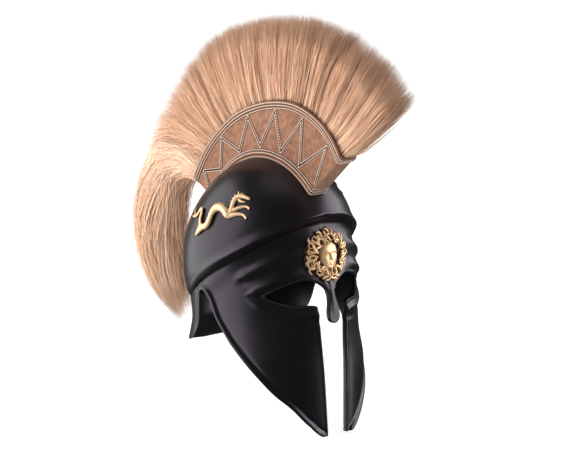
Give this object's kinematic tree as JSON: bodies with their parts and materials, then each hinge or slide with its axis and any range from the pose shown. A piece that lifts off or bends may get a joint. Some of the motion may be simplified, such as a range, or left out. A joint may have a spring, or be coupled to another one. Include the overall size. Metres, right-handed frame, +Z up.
{
  "type": "italo-corinthian helmet",
  "caption": "Black steel helmet with ridged dome, nasal, long cheek pieces and neck guard, under a stitched leather crest box with hair crest and tail, with brass brow mask and sea dragons.",
  "frame": {"origin": "inside of the dome's crown on the middle plane, where the wearer's head meets the helmet", "axes": "+X is the wearer's left, -Y is the way the face looks, +Z is up"},
  "size_m": [0.1992, 0.4971, 0.485],
  "materials": {
    "black_steel": "satin black over raised steel",
    "suede": "tan suede, stitched in pale thread",
    "hair": "golden tan horsehair, combed",
    "brass": "cast, bright on the high places and dark in the hollows"
  },
  "bodies": {
    "root": {"helmet_shell": "black_steel", "crest_box": "suede", "crest_foot_band": "suede", "crest_rim_band": "suede", "zigzag_strip_right": "suede", "zigzag_strip_left": "suede", "crest_plume": "hair", "crest_tail": "hair", "gorgon_mask": "brass", "sea_dragon_right": "brass", "sea_dragon_left": "brass"}
  },
  "joints": []
}
